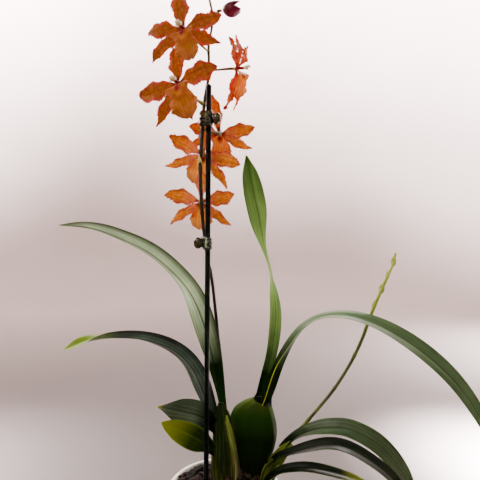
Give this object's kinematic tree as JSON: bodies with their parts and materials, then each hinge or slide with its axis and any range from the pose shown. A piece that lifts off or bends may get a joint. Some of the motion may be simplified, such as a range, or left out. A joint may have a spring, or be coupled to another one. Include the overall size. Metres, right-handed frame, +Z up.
{
  "type": "potted cambria orchid",
  "caption": "Cambria orchid in a round plastic pot of bark, with strap leaves, a green bulb and a staked flower stem of orange blooms held by clips.",
  "frame": {"origin": "middle of the pot's flat underside", "axes": "+Z up along the pot's axis, +X to the right and +Y away as seen from the front"},
  "size_m": [0.4408, 0.1194, 0.6481],
  "materials": {
    "pot_plastic": "thin white moulded plastic, satin gloss",
    "bark": "rough dark bark chips",
    "bulb": "smooth waxy dark green, faintly ribbed",
    "sheath": "folded green sheaths with dry brown edges",
    "leaf": "satin green strap leaf, paler underneath",
    "spike": "olive to yellow-green, satin",
    "stem": "dark brown-green, satin",
    "petal": "velvety brownish orange, redder at the edge",
    "lip": "velvety light orange",
    "column": "waxy cream with a dark red base",
    "bud": "dark purple-red, satin",
    "stake_plastic": "smooth near-black green, glossy",
    "clip_plastic": "translucent dark green, glossy"
  },
  "bodies": {
    "root": {"pot": "pot_plastic", "bark": "bark", "main_bulb": "bulb", "left_shoot": "sheath", "right_shoot": "sheath", "young_spike": "spike", "flower_stem": "stem", "stake": "stake_plastic", "clip_upper": "clip_plastic", "clip_lower": "clip_plastic", "bud_open": "bud", "bud_closed": "bud", "bud_tip": "bud", "leaf_upright": "leaf", "leaf_arch_right": "leaf", "leaf_left_high": "leaf", "leaf_left_mid": "leaf", "leaf_left_dark": "leaf", "leaf_left_yellow": "leaf", "leaf_right_upper": "leaf", "leaf_right_mid": "leaf", "leaf_right_low": "leaf", "bloom_a_tepals": "petal", "bloom_a_lip": "lip", "bloom_a_column": "column", "bloom_b_tepals": "petal", "bloom_b_lip": "lip", "bloom_b_column": "column", "bloom_c_tepals": "petal", "bloom_c_lip": "lip", "bloom_c_column": "column", "bloom_d_tepals": "petal", "bloom_d_lip": "lip", "bloom_d_column": "column", "bloom_e_tepals": "petal", "bloom_e_lip": "lip", "bloom_e_column": "column", "bloom_f_tepals": "petal", "bloom_f_lip": "lip", "bloom_f_column": "column"}
  },
  "joints": []
}
